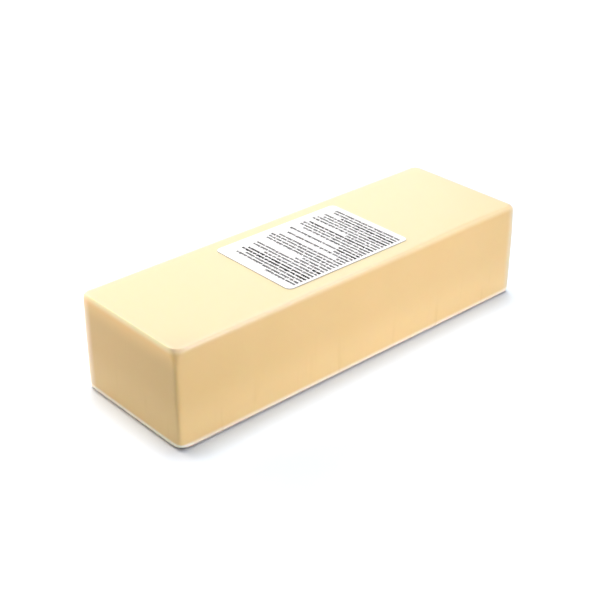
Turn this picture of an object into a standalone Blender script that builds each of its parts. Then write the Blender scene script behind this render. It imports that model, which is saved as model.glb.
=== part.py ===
# A whole block of firm pizza mozzarella lying on its broad side, with a paper label on its top face.
# Metres, +Z up. The origin is the middle of the flat underside, +X along the block's length.
import math

import bmesh
import bpy
from mathutils import Vector

# The block, measured over its edges
BLOCK_LENGTH = 0.2892
BLOCK_WIDTH = 0.0945
BLOCK_HEIGHT = 0.0672
EDGE_REACH = 0.0077  # how far in from a sharp edge the rounding starts
EDGE_POWER = 3.6  # power of the superellipse along an edge: a tight round
CORNER_POWER = 2.6  # power where three faces meet: nearer to a ball
ROUND_STEPS = 4  # facets from the start of the rounding to the middle of an edge
SPANS = (12, 5, 4)  # facets between the roundings, along X, Y and Z

# The pressed cheese gives a little: its upright faces stand out in the middle, more below than above
SIDE_BOW = 0.0005
BOW_HEIGHT = 0.45  # where the bow is greatest, as a share of the height
SWAY = 0.00025  # slow unevenness along the long faces
SWAY_TURNS = 1.5  # swings of that unevenness over the length

# The label
LABEL_LENGTH = 0.1022
LABEL_WIDTH = 0.0709
LABEL_THICKNESS = 0.00025
LABEL_CORNER = 0.0040
LABEL_CORNER_STEPS = 6
LABEL_CENTRE = (-0.0004, -0.0004)
LABEL_GAP = 0.0003  # between the cheese and the paper

CHEESE_COLOUR = (0.93, 0.79, 0.50, 1.0)
PAPER_COLOUR = (0.95, 0.95, 0.93, 1.0)
CUT_TOLERANCE = 1e-6


def clear_scene():
    for old in list(bpy.data.objects):
        bpy.data.objects.remove(old, do_unlink=True)


def principled(name, colour, roughness, subsurface=0.0):
    material = bpy.data.materials.new(name)
    material.use_nodes = True
    shader = material.node_tree.nodes["Principled BSDF"]
    shader.inputs["Base Color"].default_value = colour
    shader.inputs["Roughness"].default_value = roughness
    shader.inputs["Metallic"].default_value = 0.0
    shader.inputs["Subsurface Weight"].default_value = subsurface
    material.diffuse_color = colour
    return material


def add_object(name, bm, material):
    mesh = bpy.data.meshes.new(name)
    bm.to_mesh(mesh)
    bm.free()
    mesh.materials.append(material)
    obj = bpy.data.objects.new(name, mesh)
    bpy.context.scene.collection.objects.link(obj)
    return obj


def stations(half, spans):
    """Places along one axis where the box is cut, close together where the rounding turns fastest."""
    turn = math.pi / 4 / ROUND_STEPS
    shares = [math.tan(turn * i) ** (1 / (EDGE_POWER - 1)) for i in range(ROUND_STEPS)]
    flat = half - EDGE_REACH
    outer = [flat + EDGE_REACH * share for share in shares]
    inner = [flat * (2 * i / spans - 1) for i in range(1, spans)]
    return sorted(inner + outer + [-place for place in outer])


def rounded(point, half):
    """Pulls a point of the sharp box onto the rounded block."""
    core = Vector(max(-h + EDGE_REACH, min(h - EDGE_REACH, p)) for p, h in zip(point, half))
    reach = [abs(p - c) / EDGE_REACH for p, c in zip(point, core)]
    blend = 1 - (1 - min(reach)) ** 3  # 0 along an edge, 1 at a corner
    power = EDGE_POWER + (CORNER_POWER - EDGE_POWER) * blend
    length = sum(r**power for r in reach) ** (1 / power)
    return core + (point - core) / length


def bowed(point, half):
    """Stands the upright faces out in the middle and sways the long ones. The edges stay."""
    along, across, up = (p / h for p, h in zip(point, half))
    peak = 2 * BOW_HEIGHT - 1
    rise = max(0.0, 1 - ((up - peak) / (1 - peak if up > peak else 1 + peak)) ** 2)
    side = max(0.0, 1 - along**2) * rise
    end = max(0.0, 1 - across**2) * rise
    sway = SWAY * math.sin(SWAY_TURNS * math.pi * along) * rise * max(0.0, 1 - along**2)
    return Vector((
        point.x + SIDE_BOW * along * end,
        point.y + SIDE_BOW * across * side + sway * across,
        point.z,
    ))


def make_block():
    half = Vector((BLOCK_LENGTH / 2, BLOCK_WIDTH / 2, BLOCK_HEIGHT / 2))
    bm = bmesh.new()
    bmesh.ops.create_cube(bm, size=2.0)
    bmesh.ops.scale(bm, vec=half, verts=bm.verts)
    for axis in range(3):
        normal = Vector(float(i == axis) for i in range(3))
        for place in stations(half[axis], SPANS[axis]):
            bmesh.ops.bisect_plane(
                bm, geom=bm.verts[:] + bm.edges[:] + bm.faces[:], dist=CUT_TOLERANCE,
                plane_co=normal * place, plane_no=normal,
            )
    for vert in bm.verts:
        vert.co = bowed(rounded(vert.co.copy(), half), half)
    bmesh.ops.translate(bm, vec=(0, 0, half.z), verts=bm.verts)
    bmesh.ops.recalc_face_normals(bm, faces=bm.faces)
    block = add_object("cheese_block", bm, principled("cheese", CHEESE_COLOUR, 0.45, subsurface=0.3))
    block.data.shade_smooth()
    return block


def label_outline():
    """Corner points of the label, counter-clockwise, with the four corners as arcs."""
    half_length = LABEL_LENGTH / 2 - LABEL_CORNER
    half_width = LABEL_WIDTH / 2 - LABEL_CORNER
    middles = ((1, 1), (-1, 1), (-1, -1), (1, -1))
    for quarter, (sx, sy) in enumerate(middles):
        for step in range(LABEL_CORNER_STEPS + 1):
            turn = math.pi / 2 * (quarter + step / LABEL_CORNER_STEPS)
            yield (
                LABEL_CENTRE[0] + sx * half_length + LABEL_CORNER * math.cos(turn),
                LABEL_CENTRE[1] + sy * half_width + LABEL_CORNER * math.sin(turn),
            )


def make_label():
    low = BLOCK_HEIGHT + LABEL_GAP
    bm = bmesh.new()
    face = bm.faces.new([bm.verts.new((x, y, low)) for x, y in label_outline()])
    raised = bmesh.ops.extrude_face_region(bm, geom=[face])
    top = [item for item in raised["geom"] if isinstance(item, bmesh.types.BMVert)]
    bmesh.ops.translate(bm, vec=(0, 0, LABEL_THICKNESS), verts=top)
    bmesh.ops.recalc_face_normals(bm, faces=bm.faces)
    return add_object("label", bm, principled("label_paper", PAPER_COLOUR, 0.6))


clear_scene()
make_block()
make_label()
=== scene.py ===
import math
import random

import bmesh
import bpy
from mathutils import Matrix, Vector


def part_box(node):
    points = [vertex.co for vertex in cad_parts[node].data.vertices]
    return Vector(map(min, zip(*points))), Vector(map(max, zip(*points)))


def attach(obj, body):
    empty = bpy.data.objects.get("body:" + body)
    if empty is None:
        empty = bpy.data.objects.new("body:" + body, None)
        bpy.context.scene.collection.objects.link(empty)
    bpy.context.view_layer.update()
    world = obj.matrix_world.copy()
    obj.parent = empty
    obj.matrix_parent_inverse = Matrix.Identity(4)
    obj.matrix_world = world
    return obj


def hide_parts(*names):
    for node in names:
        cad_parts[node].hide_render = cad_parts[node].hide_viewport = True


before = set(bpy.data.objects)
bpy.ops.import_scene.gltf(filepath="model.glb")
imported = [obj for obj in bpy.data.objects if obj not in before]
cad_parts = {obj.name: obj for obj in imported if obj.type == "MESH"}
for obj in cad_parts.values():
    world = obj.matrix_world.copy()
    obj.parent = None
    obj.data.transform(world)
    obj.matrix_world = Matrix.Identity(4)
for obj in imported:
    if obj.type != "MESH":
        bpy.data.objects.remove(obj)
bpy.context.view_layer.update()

mm = 0.001
touching = 0.01 * mm  # places nearer than this are the same
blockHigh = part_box("cheese_block")[1]
labelLow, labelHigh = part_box("label")
print("frame loaded:", ", ".join(sorted(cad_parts)))


# selecting and editing

def deselectAll():
    bpy.ops.object.select_all(action="DESELECT")


def makeActive(piece):
    deselectAll()
    piece.select_set(True)
    bpy.context.view_layer.objects.active = piece


def inEditMode(piece, mode):
    makeActive(piece)
    bpy.ops.object.mode_set(mode="EDIT")
    bpy.ops.mesh.select_mode(type=mode)
    bpy.ops.mesh.select_all(action="DESELECT")


def backToObject():
    bpy.ops.object.mode_set(mode="OBJECT")


def selectEdges(piece, wanted):
    # wanted gets the two ends of each edge
    bm = bmesh.from_edit_mesh(piece.data)
    for edge in bm.edges:
        edge.select_set(wanted(edge.verts[0].co, edge.verts[1].co))
    bm.select_flush_mode()
    bmesh.update_edit_mesh(piece.data)


def selectPoints(piece, wanted):
    bm = bmesh.from_edit_mesh(piece.data)
    for point in bm.verts:
        point.select_set(wanted(point.co))
    bm.select_flush_mode()
    bmesh.update_edit_mesh(piece.data)


def applyAll(piece):
    makeActive(piece)
    for modifier in list(piece.modifiers):
        bpy.ops.object.modifier_apply(modifier=modifier.name)


def placeInMesh(piece):
    makeActive(piece)
    bpy.ops.object.transform_apply(location=True, rotation=True, scale=True)


camera = {
    "azimuth": -41.95,  # degrees round from the long side
    "elevation": 29.02,
    "aim": (-0.0096, 0.0012, 0.0300),
    "distance": 0.8084,
    "lens": 75.0,
}


def makeCamera():
    turn = math.radians(camera["azimuth"])
    rise = math.radians(camera["elevation"])
    back = Vector((
        math.sin(turn) * math.cos(rise),
        -math.cos(turn) * math.cos(rise),
        math.sin(rise),
    ))
    bpy.ops.object.camera_add(location=Vector(camera["aim"]) + back * camera["distance"])
    lens = bpy.context.object
    lens.name = "studioCamera"
    lens.data.lens = camera["lens"]
    lens.rotation_euler = (-back).to_track_quat("-Z", "Y").to_euler()
    bpy.context.scene.camera = lens


makeCamera()
print("camera placed")


# shader nodes, each at x and y in its tree, and their links

def addNode(tree, kind, x, y, **settings):
    node = tree.nodes.new(kind)
    node.location = (x, y)
    for key, value in settings.items():
        setattr(node, key, value)
    return node


def feed(node, inputs):
    # each socket takes a plain value, or a link from another node's output
    for socket, value in inputs.items():
        if isinstance(value, bpy.types.NodeSocket):
            node.id_data.links.new(value, node.inputs[socket])
        else:
            node.inputs[socket].default_value = value


def addMath(tree, operation, x, y, *values):
    node = addNode(tree, "ShaderNodeMath", x, y, operation=operation)
    feed(node, dict(enumerate(values)))
    return node.outputs["Value"]


def addProduct(tree, x, y, product, *factors):
    # a row of multiply nodes
    for step, factor in enumerate(factors):
        product = addMath(tree, "MULTIPLY", x + 150 * step, y, product, factor)
    return product


def addRamp(tree, x, y, value, start, end, low=0.0, high=1.0, kind="SMOOTHSTEP"):
    # low where the value is under start, high where it is over end
    node = addNode(tree, "ShaderNodeMapRange", x, y, interpolation_type=kind)
    feed(node, {"Value": value, "From Min": start, "From Max": end, "To Min": low, "To Max": high})
    return node.outputs["Result"]


def addFade(tree, x, y, value, start, end):
    # 1 where the value is under start, 0 where it is over end
    return addRamp(tree, x, y, value, start, end, 1.0, 0.0)


def addMix(tree, x, y, share, first, second):
    node = addNode(tree, "ShaderNodeMix", x, y, data_type="RGBA")
    feed(node, {"Factor": share, "A": first, "B": second})
    return node.outputs["Result"]


def addNoise(tree, x, y, where, scale, detail):
    node = addNode(tree, "ShaderNodeTexNoise", x, y)
    feed(node, {"Vector": where, "Scale": scale, "Detail": detail})
    return node.outputs["Fac"]


def addSplit(tree, x, y, vector):
    node = addNode(tree, "ShaderNodeSeparateXYZ", x, y)
    feed(node, {"Vector": vector})
    return node.outputs


def newMaterial(name):
    material = bpy.data.materials.new(name)
    material.use_nodes = True
    tree = material.node_tree
    shader = tree.nodes["Principled BSDF"]
    shader.location = (500, 0)
    tree.nodes["Material Output"].location = (800, 0)
    where = addNode(tree, "ShaderNodeTexCoord", -700, 0)
    return material, tree, shader, where.outputs["Object"]


# the studio: a white floor in a white surround, with soft light from above and all round

studio = {
    "floorRadius": 3.0,
    "floorSides": 96,
    "floorColour": (0.825, 0.91, 0.99, 1.0),  # round the cheese, against the warm light off it
    "floorFar": (0.97, 0.97, 0.97, 1.0),
    "floorFade": (0.24, 0.55),  # how far out the one passes into the other
    "floorRoughness": 0.9,
    "floorSpecular": 0.1,
    "skySeen": 1.0,  # brightness of the white surround behind the floor
    "skyGloss": 1.28,  # and in glossy reflections
    "skyLight": 0.0,  # what the surround adds to the soft light
    "daylight": (1.0, 1.0, 1.03),  # tint of every lamp
    "sunStrength": 2.58,
    "sunAngle": 22.0,  # degrees, for soft shadows
    "sunHeight": 1.5,
    "sunLean": (-6.5, 4.5, 0.0),  # degrees, so that it comes from a little behind
    "lights": (
        # name, place, width, height, watts, colour
        ("softboxBehind", (0.72, 1.55, 1.06), 1.90, 1.00, 11.0, (1.0, 1.0, 1.0)),
        ("softboxRight", (0.585, -0.48, 0.66), 0.50, 0.50, 1.60, (1.0, 1.0, 1.0)),
        ("softboxLeft", (-0.485, 0.65, 0.60), 0.50, 0.50, 1.60, (1.0, 1.0, 1.0)),
        ("stripFront", (0.05, -0.42, 0.05), 0.20, 0.06, 0.80, (1.10, 1.0, 1.12)),
        ("stripLeft", (-0.25, 0.60, 0.18), 0.20, 0.20, 2.00, (1.50, 1.0, 0.60)),
        ("fillNear", (-0.55, -0.60, 0.30), 0.30, 0.30, 0.60, (1.0, 1.0, 1.0)),
    ),
}


def makeWorld():
    world = bpy.data.worlds.new("whiteSurround")
    bpy.context.scene.world = world
    world.use_nodes = True
    tree = world.node_tree
    tree.nodes.clear()
    path = addNode(tree, "ShaderNodeLightPath", -400, 300)
    shade = addNode(tree, "ShaderNodeBackground", 0, 0)
    feed(shade, {"Strength": studio["skyLight"]})
    for ray, strength, x in (("Is Glossy Ray", "skyGloss", 200), ("Is Camera Ray", "skySeen", 450)):
        bright = addNode(tree, "ShaderNodeBackground", x - 200, -200)
        feed(bright, {"Color": (*studio["daylight"], 1.0), "Strength": studio[strength]})
        mix = addNode(tree, "ShaderNodeMixShader", x, 0)
        feed(mix, {0: path.outputs[ray], 1: shade.outputs[0], 2: bright.outputs[0]})
        shade = mix
    out = addNode(tree, "ShaderNodeOutputWorld", 700, 0)
    feed(out, {"Surface": shade.outputs[0]})


def floorMaterial():
    material, tree, shader, where = newMaterial("floorWhite")
    away = addNode(tree, "ShaderNodeVectorMath", -450, 200, operation="LENGTH")
    feed(away, {0: where})
    far = addRamp(tree, -200, 200, away.outputs["Value"], *studio["floorFade"], kind="LINEAR")
    feed(shader, {
        "Base Color": addMix(tree, 100, 200, far, studio["floorColour"], studio["floorFar"]),
        "Roughness": studio["floorRoughness"],
        "Specular IOR Level": studio["floorSpecular"],
    })
    return material


def makeFloor():
    deselectAll()
    bpy.ops.mesh.primitive_circle_add(
        vertices=studio["floorSides"], radius=studio["floorRadius"], fill_type="NGON",
    )
    floor = bpy.context.object
    floor.name = "floor"
    floor.data.materials.append(floorMaterial())


def makeLights():
    aim = Vector((0, 0, blockHigh.z / 2))
    bpy.ops.object.light_add(type="SUN", location=(0, 0, studio["sunHeight"]))
    sun = bpy.context.object
    sun.name = "softOverhead"
    sun.data.energy = studio["sunStrength"]
    sun.data.color = studio["daylight"]
    sun.data.angle = math.radians(studio["sunAngle"])
    sun.rotation_euler = [math.radians(lean) for lean in studio["sunLean"]]
    for name, place, width, height, watts, colour in studio["lights"]:
        bpy.ops.object.light_add(type="AREA", location=place)
        light = bpy.context.object
        light.name = name
        light.data.shape = "RECTANGLE"
        light.data.size = width
        light.data.size_y = height
        light.data.energy = watts
        light.data.color = [tint * day for tint, day in zip(colour, studio["daylight"])]
        light.visible_camera = False
        light.rotation_euler = (aim - Vector(place)).to_track_quat("-Z", "Y").to_euler()


bpy.context.scene.view_settings.view_transform = "Standard"
bpy.context.scene.view_settings.look = "None"
makeWorld()
makeFloor()
makeLights()
print("studio lit")


# shader groups that the materials share

surfaceNoise = {
    "cloudDetail": 3.0,
    "cloudRange": (0.35, 0.65),  # of the noise, where one tone passes into the other
    "streakDetail": 2.0,
    "streakFull": 0.75,
    "grainDetail": 4.0,
    "grainRange": (0.3, 0.7),
}


def newGroup(name, inputs, outputs):
    tree = bpy.data.node_groups.new(name, "ShaderNodeTree")
    for socketName, kind, value in inputs:
        socket = tree.interface.new_socket(name=socketName, in_out="INPUT", socket_type="NodeSocket" + kind)
        if value is not None:
            socket.default_value = value
    for socketName, kind in outputs:
        tree.interface.new_socket(name=socketName, in_out="OUTPUT", socket_type="NodeSocket" + kind)
    enter = addNode(tree, "NodeGroupInput", -600, 0)
    leave = addNode(tree, "NodeGroupOutput", 1200, 0)
    return tree, enter.outputs, leave


def cloudyTintGroup():
    # two tones that drift into each other over the surface
    tree, enter, leave = newGroup(
        "cloudyTint",
        (
            ("Vector", "Vector", None),
            ("Scale", "Float", 20.0),
            ("Tone A", "Color", (0.8, 0.8, 0.8, 1.0)),
            ("Tone B", "Color", (0.9, 0.9, 0.9, 1.0)),
        ),
        (("Colour", "Color"),),
    )
    noise = addNoise(tree, -350, 0, enter["Vector"], enter["Scale"], surfaceNoise["cloudDetail"])
    share = addRamp(tree, -150, 0, noise, *surfaceNoise["cloudRange"])
    feed(leave, {"Colour": addMix(tree, 150, 0, share, enter["Tone A"], enter["Tone B"])})
    return tree


def faintStreaksGroup():
    # narrow upright marks, as a mould or a wrap leaves them
    tree, enter, leave = newGroup(
        "faintStreaks",
        (
            ("Vector", "Vector", None),
            ("Across", "Float", 200.0),
            ("Along", "Float", 15.0),
            ("Threshold", "Float", 0.55),
        ),
        (("Mask", "Float"),),
    )
    scales = addNode(tree, "ShaderNodeCombineXYZ", -400, -150)
    feed(scales, {"X": enter["Across"], "Y": enter["Across"], "Z": enter["Along"]})
    stretched = addNode(tree, "ShaderNodeVectorMath", -200, 0, operation="MULTIPLY")
    feed(stretched, {0: enter["Vector"], 1: scales.outputs["Vector"]})
    noise = addNoise(tree, 0, 0, stretched.outputs["Vector"], 1.0, surfaceNoise["streakDetail"])
    feed(leave, {"Mask": addRamp(tree, 200, 0, noise, enter["Threshold"], surfaceNoise["streakFull"])})
    return tree


def fineGrainGroup():
    # small bumps and a roughness that follows them
    tree, enter, leave = newGroup(
        "fineGrain",
        (
            ("Vector", "Vector", None),
            ("Scale", "Float", 400.0),
            ("Roughness Low", "Float", 0.4),
            ("Roughness High", "Float", 0.5),
        ),
        (("Height", "Float"), ("Roughness", "Float")),
    )
    noise = addNoise(tree, -350, 0, enter["Vector"], enter["Scale"], surfaceNoise["grainDetail"])
    rough = addRamp(
        tree, 0, -150, noise, *surfaceNoise["grainRange"],
        enter["Roughness Low"], enter["Roughness High"], kind="LINEAR",
    )
    feed(leave, {"Height": noise, "Roughness": rough})
    return tree


def heightBandsGroup():
    # masks by height, for something that stands on the ground: its top, its foot and its lower part
    tree, enter, leave = newGroup(
        "heightBands",
        (
            ("Vector", "Vector", None),
            ("Height", "Float", 0.067),
            ("Top Reach", "Float", 0.004),
            ("Foot Full", "Float", 0.0),
            ("Foot Reach", "Float", 0.002),
            ("Low Reach", "Float", 0.03),
        ),
        (("Top", "Float"), ("Foot", "Float"), ("Low", "Float")),
    )
    up = addSplit(tree, -400, 0, enter["Vector"])["Z"]
    down = addMath(tree, "SUBTRACT", -150, 200, enter["Height"], up)
    feed(leave, {
        "Top": addFade(tree, 200, 300, down, 0.0, enter["Top Reach"]),
        "Foot": addFade(tree, 200, 0, up, enter["Foot Full"], enter["Foot Reach"]),
        "Low": addFade(tree, 200, -300, up, 0.0, enter["Low Reach"]),
    })
    return tree


groups = {
    "cloudyTint": cloudyTintGroup(),
    "faintStreaks": faintStreaksGroup(),
    "fineGrain": fineGrainGroup(),
    "heightBands": heightBandsGroup(),
}


def addGroup(tree, name, x, y, **values):
    node = addNode(tree, "ShaderNodeGroup", x, y, node_tree=groups[name])
    feed(node, {socket.replace("_", " "): value for socket, value in values.items()})
    return node.outputs


def addTint(tree, where, tint):
    low, high = tint["tones"]
    return addGroup(
        tree, "cloudyTint", -450, 200, Vector=where, Scale=tint["scale"], Tone_A=low, Tone_B=high,
    )["Colour"]


def addGrain(tree, shader, where, grain):
    # an uneven roughness, and fine bumps where the grain has a depth
    low, high = grain["roughness"]
    surface = addGroup(
        tree, "fineGrain", -450, -100, Vector=where, Scale=grain["scale"],
        Roughness_Low=low, Roughness_High=high,
    )
    feed(shader, {"Roughness": surface["Roughness"]})
    if "depth" in grain:
        bump = addNode(tree, "ShaderNodeBump", 200, -250)
        feed(bump, {"Strength": grain["strength"], "Distance": grain["depth"], "Height": surface["Height"]})
        feed(shader, {"Normal": bump.outputs["Normal"]})


print("shader groups built")


# the cheese

cheese = {
    "length": 289.2 * mm,  # over its upright edges
    "width": 94.5 * mm,
    "rounding": 9.5 * mm,  # upright edges, seen from above
    "squareness": 0.5,  # their bevel profile, above 0.5 for a tighter edge
    "roundingSteps": 12,
    "topEdge": 4.4 * mm,
    "bottomEdge": 2.3 * mm,
    "rimSteps": 8,
    "rimProfile": 0.5,
    "spans": (90, 28, 22),  # facets between the roundings, along x, y and z
    "longEdge": 15 * mm,  # an edge over this length is cut into them
    "endBow": 0.47 * mm,  # how far the upright faces stand out in the middle
    "sideBow": 0.45 * mm,
    "bowHeight": 0.45,  # where, as a share of the height
    "sway": 0.25 * mm,  # slow unevenness along the long faces
    "swayTurns": 1.5,
    # superellipse powers at the foot, half height and top, and the heights between which the middle one holds
    "uprights": {  # by left or right, and front or back
        (-1, -1): (2.1, 9.0, 2.5, 10 * mm, 56 * mm),
        (-1, 1): (3.6, 4.0, 3.4, 12 * mm, 40 * mm),
        (1, -1): (5.5, 6.5, 4.2, 12 * mm, 40 * mm),
        (1, 1): (3.5, 4.0, 3.0, 12 * mm, 40 * mm),
    },
    "rimShare": (0.15, 0.25),  # how far the top rim reaches in, against its height: left end and front
    "rimSpread": 3 * mm,  # over this much of the flat top
    "softStretch": (104 * mm, 66 * mm),  # middle and reach of a stretch of the front where it is rounder
    "softShare": 0.85,
    "tint": {"scale": 18.0, "tones": ((0.672, 0.474, 0.192, 1.0), (0.685, 0.483, 0.200, 1.0))},
    "grain": {"scale": 900.0, "roughness": (0.28, 0.36), "strength": 0.25, "depth": 0.05 * mm},
    "lowTone": (0.775, 0.565, 0.250, 1.0),  # painted bounce light from the floor: a little lighter towards the foot
    "lowReach": 40 * mm,
    "topSheenTone": (0.79, 0.655, 0.374, 1.0),  # painted sheen and light: the top is paler
    "topReach": 4.2 * mm,
    "cornerTone": (0.79, 0.60, 0.365, 1.0),  # round the near corner of the top
    "rimTone": (0.84, 0.70, 0.46, 1.0),  # painted highlight, paler still along the rim of the left part
    "rimReach": 5.0 * mm,
    # painted sheen along the right and back rims of the top
    "farRimTone": (0.72, 0.63, 0.46, 1.0),
    "glowTone": (0.93, 0.78, 0.58, 1.0),  # painted light and sheen on the left end beside its far upright edge
    "plainGlowTone": (0.70, 0.59, 0.36, 1.0),  # painted sheen on the front beside its right one
    "glowReach": 11 * mm,
    "glowFull": 3.5 * mm,
    "upperTone": (1.0, 0.69, 0.27, 1.0),  # painted light: the left end grows warmer upwards
    "upperReach": 16 * mm,
    "underTone": (1.0, 1.0, 0.67, 1.0),  # and painted light, pale under its rim
    "underReach": 5.5 * mm,
    "footLightTone": (1.0, 0.95, 0.78, 1.0),  # painted light, the pale line along the foot
    "footReach": 5.2 * mm,
    "footFull": 2.0 * mm,
    "contactShadowTone": (0.56, 0.45, 0.33, 1.0),  # painted contact shadow along the lowest edge
    "contactShadowReach": 2.3 * mm,
    "contactShadowFull": 1.5 * mm,
    "streakTone": (0.56, 0.37, 0.12, 1.0),  # faint upright marks on the lower part
    "streakShare": 0.20,
    "streaks": {"Across": 170.0, "Along": 22.0, "Threshold": 0.56},
    "subsurface": 0.35,
    "scatter": (1.0, 0.55, 0.25),
    "scatterScale": 2.5 * mm,
    "ior": 1.45,
    "specular": 0.35,
    "edges": {  # where the masks of the edges begin to fade, and where they end
        "face": (0.6 * mm, 2.0 * mm),  # in from the face that the glow beside an upright lies on
        "leftFace": (0.3 * mm, 2.0 * mm),
        "glowTightness": 2.5,  # a power that narrows the front's glow
        "rimDepth": (0.0, 1.2 * mm),  # under the top
        "farRim": (1.0 * mm, 7.5 * mm),
        "farRimDepth": (1.0 * mm, 4.0 * mm),
        "cornerLeft": (0.0, 32 * mm),  # in from the left end and from the front
        "cornerFront": (0.0, 26 * mm),
        "cornerDepth": (0.0, 3.0 * mm),
        "underFalloff": 2.0,  # powers of the fades down the left end
        "upperFalloff": 1.7,
        "halves": (-0.1, 0.1),  # from left to right and from front to back, as shares of half the size
        "rimEnd": (-0.2, 0.35),
        "footLeft": (-0.97, -0.9),
        "footFront": (-0.9, -0.7),
        "footShare": 0.4,  # how much of it shows, and how much more at the front and the left end
        "footMoreFront": 0.378,
        "footMoreLeft": 1.2,
    },
}


def blockEdgesGroup():
    # masks of the block's edges, by how far in from the faces of its box a point lies, mostly for the painted
    # light along them
    tree, enter, leave = newGroup(
        "blockEdges",
        (
            ("Vector", "Vector", None),
            ("Far Corner", "Vector", (0.145, 0.047, 0.067)),  # half its length and width, and its height
            ("Glow Full", "Float", 0.0035),
            ("Glow Reach", "Float", 0.009),
            ("Rim Reach", "Float", 0.005),
            ("Under Reach", "Float", 0.0045),
            ("Upper Reach", "Float", 0.016),
        ),
        [(mask, "Float") for mask in (
            "Left Upright", "Right Upright", "Rim", "Far Rim", "Near Corner",
            "Under Rim", "Upper Left", "Foot Share",
        )],
    )

    def maths(operation, x, y, *values):
        return addMath(tree, operation, x, y, *values)

    def fade(x, y, value, start, end):
        return addFade(tree, x, y, value, start, end)

    fades = cheese["edges"]
    place = addSplit(tree, -400, -500, enter["Vector"])
    corner = addSplit(tree, -400, -700, enter["Far Corner"])
    fromLeft = maths("ADD", -200, -300, place["X"], corner["X"])
    fromRight = maths("SUBTRACT", -200, -100, corner["X"], place["X"])
    fromFront = maths("ADD", -200, -500, place["Y"], corner["Y"])
    fromBack = maths("SUBTRACT", -200, -700, corner["Y"], place["Y"])
    fromTop = maths("SUBTRACT", -200, -900, corner["Z"], place["Z"])
    fromEnd = maths("MINIMUM", 0, 300, fromLeft, fromRight)
    fromSide = maths("MINIMUM", 0, 100, fromFront, fromBack)
    along = maths("DIVIDE", 0, -1100, place["X"], corner["X"])
    across = maths("DIVIDE", 0, -1300, place["Y"], corner["Y"])

    # the painted glow beside the far left upright edge, on the end, and beside the near right one, on the
    # front
    toLeft = fade(200, -1100, along, *fades["halves"])
    toFront = fade(200, -1300, across, *fades["halves"])
    farLeft = maths("MAXIMUM", 550, 500, maths("SUBTRACT", 400, 500, toLeft, toFront), 0.0)
    nearRight = maths("MAXIMUM", 550, 300, maths("SUBTRACT", 400, 300, toFront, toLeft), 0.0)
    onEnd = addProduct(
        tree, 400, 700,
        fade(200, 700, fromEnd, *fades["face"]),
        fade(200, 500, fromSide, enter["Glow Full"], enter["Glow Reach"]),
    )
    onFront = addProduct(
        tree, 400, 100,
        fade(200, 300, fromEnd, enter["Glow Full"], enter["Glow Reach"]),
        fade(200, 100, fromSide, *fades["face"]),
    )
    tight = maths("POWER", 550, 100, onFront, fades["glowTightness"])
    feed(leave, {
        "Left Upright": addProduct(tree, 900, 600, onEnd, farLeft),
        "Right Upright": addProduct(tree, 900, 400, tight, nearRight),
    })

    # the painted highlight along the near rim of the top, the painted sheen along its far rims, and the tone
    # round its near corner
    nearRim = fade(400, -100, maths("MINIMUM", 200, -100, fromLeft, fromFront), 0.0, enter["Rim Reach"])
    farRim = fade(400, -200, maths("MINIMUM", 200, -200, fromRight, fromBack), *fades["farRim"])
    feed(leave, {
        "Rim": addProduct(
            tree, 800, -100, nearRim,
            fade(600, -100, fromTop, *fades["rimDepth"]), fade(600, 0, along, *fades["rimEnd"]),
        ),
        "Far Rim": addProduct(tree, 800, -200, farRim, fade(600, -200, fromTop, *fades["farRimDepth"])),
        "Near Corner": addProduct(
            tree, 800, -400,
            fade(600, -300, fromLeft, *fades["cornerLeft"]),
            fade(600, -400, fromFront, *fades["cornerFront"]),
            fade(600, -500, fromTop, *fades["cornerDepth"]),
        ),
    })

    # painted light on the left end, from its rim down
    atLeft = fade(200, -600, fromLeft, *fades["leftFace"])
    for mask, reach, falloff, y in (
        ("Under Rim", "Under Reach", "underFalloff", -700),
        ("Upper Left", "Upper Reach", "upperFalloff", -850),
    ):
        fallen = maths("DIVIDE", 200, y, fromTop, enter[reach])
        left = maths("MAXIMUM", 500, y, maths("SUBTRACT", 350, y, 1.0, fallen), 0.0)
        faded = maths("POWER", 650, y, left, fades[falloff])
        feed(leave, {mask: addProduct(tree, 800, y, atLeft, faded)})

    # how much of the painted light line along the foot shows
    front = fade(450, -1050, across, *fades["footFront"])
    left = fade(450, -1250, along, *fades["footLeft"])
    feed(leave, {"Foot Share": maths(
        "MAXIMUM", 850, -1150,
        maths("MULTIPLY_ADD", 650, -1050, front, fades["footMoreFront"], fades["footShare"]),
        maths("MULTIPLY_ADD", 650, -1250, left, fades["footMoreLeft"], fades["footShare"]),
    )})
    return tree


groups["blockEdges"] = blockEdgesGroup()


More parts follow.
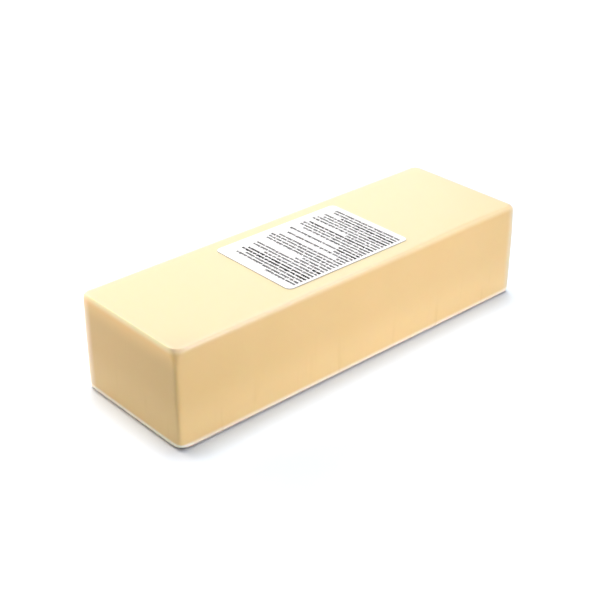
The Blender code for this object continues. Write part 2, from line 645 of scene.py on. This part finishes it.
def cheeseMaterial():
    material, tree, shader, where = newMaterial("firmCheese")
    bands = addGroup(
        tree, "heightBands", -450, 500, Vector=where, Height=blockHigh.z, Top_Reach=cheese["topReach"],
        Foot_Full=cheese["footFull"], Foot_Reach=cheese["footReach"], Low_Reach=cheese["lowReach"],
    )
    edges = addGroup(
        tree, "blockEdges", -450, 850, Vector=where,
        Far_Corner=(blockHigh.x, cheese["width"] / 2, blockHigh.z),
        Glow_Full=cheese["glowFull"], Glow_Reach=cheese["glowReach"], Rim_Reach=cheese["rimReach"],
        Under_Reach=cheese["underReach"], Upper_Reach=cheese["upperReach"],
    )
    contactShadowBand = addGroup(
        tree, "heightBands", -450, 1200, Vector=where,
        Foot_Full=cheese["contactShadowFull"], Foot_Reach=cheese["contactShadowReach"],
    )
    marks = addGroup(tree, "faintStreaks", -450, 1500, Vector=where, **cheese["streaks"])
    colour = addTint(tree, where, cheese["tint"])
    # most of these tones are painted light: bounce, sheen, highlights and glows, then a painted contact
    # shadow; the streaks are the cheese's own marks
    for step, (mask, tone) in enumerate((
        (bands["Low"], "lowTone"),
        (bands["Top"], "topSheenTone"),
        (edges["Near Corner"], "cornerTone"),
        (edges["Rim"], "rimTone"),
        (edges["Far Rim"], "farRimTone"),
        (edges["Left Upright"], "glowTone"),
        (edges["Right Upright"], "plainGlowTone"),
        (edges["Upper Left"], "upperTone"),
        (edges["Under Rim"], "underTone"),
        (addProduct(tree, -200, 700, bands["Foot"], edges["Foot Share"]), "footLightTone"),
        (contactShadowBand["Foot"], "contactShadowTone"),
        (addProduct(tree, -200, 1500, marks["Mask"], bands["Low"], cheese["streakShare"]), "streakTone"),
    )):
        colour = addMix(tree, 60 * step - 250, 250, mask, colour, cheese[tone])
    addGrain(tree, shader, where, cheese["grain"])
    feed(shader, {
        "Base Color": colour,
        "Subsurface Weight": cheese["subsurface"],
        "Subsurface Radius": cheese["scatter"],
        "Subsurface Scale": cheese["scatterScale"],
        "IOR": cheese["ior"],
        "Specular IOR Level": cheese["specular"],
    })
    return material


def ease(value):
    value = min(1.0, max(0.0, value))
    return value * value * (3 - 2 * value)


def standOut(point, half):
    # the upright faces bow out in the middle and sway a little; the edges stay
    along, across, up = point.x / half.x, point.y / half.y, point.z / half.z - 1
    peak = 2 * cheese["bowHeight"] - 1
    rise = max(0.0, 1 - ((up - peak) / (1 - peak if up > peak else 1 + peak)) ** 2)
    side = max(0.0, 1 - along**2) * rise
    end = max(0.0, 1 - across**2) * rise
    sway = cheese["sway"] * math.sin(cheese["swayTurns"] * math.pi * along) * side
    return Vector((
        point.x + cheese["endBow"] * along * end,
        point.y + cheese["sideBow"] * across * side + sway * across,
        point.z,
    ))


def roundedBy(power, first, second):
    # how far out a superellipse of this power lies in the direction of the two shares
    return (first**power + second**power) ** (-1 / power)


def pressUpright(point, half):
    # each upright edge is pressed as tight as its powers say
    reach = cheese["rounding"]
    along = (abs(point.x) - half.x + reach) / reach
    across = (abs(point.y) - half.y + reach) / reach
    if along <= 0 or across <= 0:
        return point
    right, back = math.copysign(1, point.x), math.copysign(1, point.y)
    foot, middle, top, low, high = cheese["uprights"][(right, back)]
    power = foot + (middle - foot) * ease(point.z / low)
    power += (top - power) * ease((point.z - high) / (2 * half.z - high))
    soft = -2 * math.log(2) / math.log(cheese["squareness"])  # the power of the bevel as it was made
    grow = roundedBy(power, along, across) / roundedBy(soft, along, across)
    return Vector((
        right * (half.x - reach + along * grow * reach),
        back * (half.y - reach + across * grow * reach),
        point.z,
    ))


def pressRim(point, half):
    # at the left end and most of the front, the top rim reaches inwards less than it does down
    corner, reach = cheese["rounding"], cheese["topEdge"]
    outward = Vector([
        math.copysign(max(0.0, abs(point[axis]) - half[axis] + corner), point[axis]) for axis in (0, 1)
    ]).to_3d()
    inset = corner - outward.length
    if outward.length < touching:
        return point
    outward.normalize()
    left, front = cheese["rimShare"]
    middle, stretch = cheese["softStretch"]
    front += (cheese["softShare"] - front) * ease(1 - abs(point.x - middle) / stretch)
    spare = (1 - left) * max(0.0, -outward.x) ** 2 + (1 - front) * max(0.0, -outward.y) ** 2
    pull = spare * min(inset, reach) * min(1.0, max(0.0, 1 - (inset - reach) / cheese["rimSpread"]))
    return point + outward * pull * ease(2 * (point.z - 2 * half.z + reach) / reach)


def makeCheese():
    size = Vector((cheese["length"], cheese["width"], blockHigh.z))
    deselectAll()
    bpy.ops.mesh.primitive_cube_add(size=1, location=(0, 0, size.z / 2))
    block = bpy.context.object
    block.name = "cheeseBlock"
    block.scale = size
    placeInMesh(block)
    inEditMode(block, "EDGE")
    selectEdges(block, lambda a, b: abs(a.z - b.z) > size.z / 2)
    bpy.ops.mesh.bevel(
        offset=cheese["rounding"], segments=cheese["roundingSteps"],
        profile=cheese["squareness"], affect="EDGES",
    )
    for height, offset in ((size.z, cheese["topEdge"]), (0, cheese["bottomEdge"])):
        selectEdges(block, lambda a, b: max(abs(a.z - height), abs(b.z - height)) < touching)
        bpy.ops.mesh.bevel(
            offset=offset, segments=cheese["rimSteps"],
            profile=cheese["rimProfile"], affect="EDGES",
        )
    for axis in range(3):
        selectEdges(block, lambda a, b: abs(a[axis] - b[axis]) > cheese["longEdge"])
        bpy.ops.mesh.subdivide(number_cuts=cheese["spans"][axis] - 1)
    backToObject()
    block.modifiers.new("smooth", "SUBSURF").levels = 1
    applyAll(block)
    for point in block.data.vertices:
        pressed = pressUpright(pressRim(point.co, size / 2), size / 2)
        point.co = standOut(pressed, size / 2)
    bpy.ops.object.shade_smooth()
    block.data.materials.append(cheeseMaterial())
    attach(block, "root")
    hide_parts("cheese_block")
    sides = [round(side / mm, 2) for side in block.dimensions]
    print("cheese modelled:", len(block.data.polygons), "faces,", sides, "mm")


makeCheese()


# the label

label = {
    "corner": 4.0 * mm,
    "cornerSteps": 8,
    "grid": (20, 14),  # facets along x and y
    "thickness": 0.45 * mm,  # paper with its backing
    "lift": 0.02 * mm,  # above the cheese
    "paperTint": {"scale": 60.0, "tones": ((0.86, 0.86, 0.85, 1.0), (0.89, 0.89, 0.88, 1.0))},
    "paperGrain": {"scale": 2500.0, "roughness": (0.50, 0.65), "strength": 0.2, "depth": 0.02 * mm},
    # the paper's cut rim is painted grey, a painted shade line round the label
    "edgeShadeTint": {"scale": 400.0, "tones": ((0.42, 0.42, 0.42, 1.0), (0.52, 0.52, 0.52, 1.0))},
    "edgeRoughness": 0.7,
}


def paperMaterial():
    material, tree, shader, where = newMaterial("labelPaper")
    feed(shader, {"Base Color": addTint(tree, where, label["paperTint"])})
    addGrain(tree, shader, where, label["paperGrain"])
    return material


def edgeShadeMaterial():
    # painted shade on the paper's rim, as a thin grey line
    material, tree, shader, where = newMaterial("labelEdgeShade")
    feed(shader, {"Base Color": addTint(tree, where, label["edgeShadeTint"]), "Roughness": label["edgeRoughness"]})
    return material


def makeLabel():
    middle = (labelLow + labelHigh) / 2
    size = labelHigh - labelLow
    deselectAll()
    bpy.ops.mesh.primitive_grid_add(
        x_subdivisions=label["grid"][0], y_subdivisions=label["grid"][1], size=1,
        location=(middle.x, middle.y, blockHigh.z + label["lift"]),
    )
    paper = bpy.context.object
    paper.name = "labelSheet"
    paper.scale = (size.x, size.y, 1)
    placeInMesh(paper)
    inEditMode(paper, "VERT")
    selectPoints(paper, lambda point: all(
        abs(abs(point[axis] - middle[axis]) - size[axis] / 2) < touching for axis in (0, 1)
    ))
    bpy.ops.mesh.bevel(offset=label["corner"], segments=label["cornerSteps"], affect="VERTICES")
    backToObject()
    body = paper.modifiers.new("thickness", "SOLIDIFY")
    body.thickness = label["thickness"]
    body.offset = 1.0  # upwards
    body.material_offset_rim = 1
    paper.data.materials.append(paperMaterial())
    paper.data.materials.append(edgeShadeMaterial())
    applyAll(paper)
    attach(paper, "root")
    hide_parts("label")
    print("label modelled:", len(paper.data.polygons), "faces")


makeLabel()


# the print on the label: lines of plain strokes that stand for small type

labelPrint = {
    "firstLine": -44.9 * mm,  # its middle, along x
    "lineStep": 3.0 * mm,
    "margin": -33.0 * mm,  # where every line starts, along y
    "lineEnds": (  # in mm along y
        -5, 26, 21, 27, 25, 13, 27, 27, -5, -8, 28, 29, 30, 27, -24, 26,
        -15, 29, -14, 23, 29, 29, 27, -3, 30, 29, 26, 28, 16, 26, 27,
    ),
    "boldLines": (3, 4, 18, 22, 28),
    "boldStarts": (7, 17, 26),  # lines that open with some bold words
    "boldWords": 2,
    "strokeStep": 0.86 * mm,
    "strokeWidth": 0.62 * mm,
    "boldWidth": 0.86 * mm,
    "widthSpread": (0.8, 1.15),
    "bodyHeight": 1.45 * mm,
    "tallHeight": 1.95 * mm,
    "tallShare": 0.3,
    "barHeight": 0.60 * mm,
    "boldBar": 1.10 * mm,
    "wordGap": 0.50 * mm,
    "wordLengths": (3, 11),  # in strokes
    "shortestWord": 2,  # a line with less room left is done
    "thickness": 0.03 * mm,
    "seed": 11,
    "tint": {"scale": 900.0, "tones": ((0.012, 0.012, 0.014, 1.0), (0.030, 0.029, 0.030, 1.0))},
    "grain": {"scale": 2500.0, "roughness": (0.50, 0.65)},
    "specular": 0.2,
}


def inkMaterial():
    material, tree, shader, where = newMaterial("labelInk")
    feed(shader, {
        "Base Color": addTint(tree, where, labelPrint["tint"]),
        "Specular IOR Level": labelPrint["specular"],
    })
    addGrain(tree, shader, where, labelPrint["grain"])
    return material


def addStroke(x, y, height, width):
    # a flat stroke that stands on the foot of its line, with the feet towards +X
    middle = blockHigh.z + label["lift"] + label["thickness"] + labelPrint["thickness"] / 2
    bpy.ops.mesh.primitive_cube_add(
        size=1, location=(x - height / 2, y, middle), scale=(height, width, labelPrint["thickness"]),
    )


def printLine(line, end, dice):
    foot = labelPrint["firstLine"] + line * labelPrint["lineStep"] + labelPrint["bodyHeight"] / 2
    step = labelPrint["strokeStep"]
    y = labelPrint["margin"]
    words = 0
    while y < end - labelPrint["shortestWord"] * step:
        opening = line in labelPrint["boldStarts"] and words < labelPrint["boldWords"]
        bold = opening or line in labelPrint["boldLines"]
        width = labelPrint["boldWidth"] if bold else labelPrint["strokeWidth"]
        strokes = min(dice.randint(*labelPrint["wordLengths"]), int((end - y) / step))
        for stroke in range(strokes):
            tall = dice.random() < labelPrint["tallShare"]
            height = labelPrint["tallHeight"] if tall else labelPrint["bodyHeight"]
            addStroke(foot, y + stroke * step, height, width * dice.uniform(*labelPrint["widthSpread"]))
        length = (strokes - 1) * step
        if strokes > 1:  # a bar along their feet or their tops makes them a word
            bar = labelPrint["boldBar"] if bold else labelPrint["barHeight"]
            rise = dice.choice((0, labelPrint["bodyHeight"] - bar))
            addStroke(foot - rise, y + length / 2, bar, length)
        y += length + step + labelPrint["wordGap"]
        words += 1


def makeLabelPrint():
    dice = random.Random(labelPrint["seed"])
    rows = []
    for line, end in enumerate(labelPrint["lineEnds"]):
        deselectAll()
        bpy.ops.object.add(type="MESH")
        rows.append(bpy.context.object)
        bpy.ops.object.mode_set(mode="EDIT")
        printLine(line, end * mm, dice)
        backToObject()
    makeActive(rows[0])
    for row in rows:
        row.select_set(True)
    bpy.ops.object.join()
    ink = bpy.context.object
    ink.name = "labelPrint"
    ink.data.materials.append(inkMaterial())
    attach(ink, "root")
    print("print modelled:", len(ink.data.polygons), "faces")


makeLabelPrint()
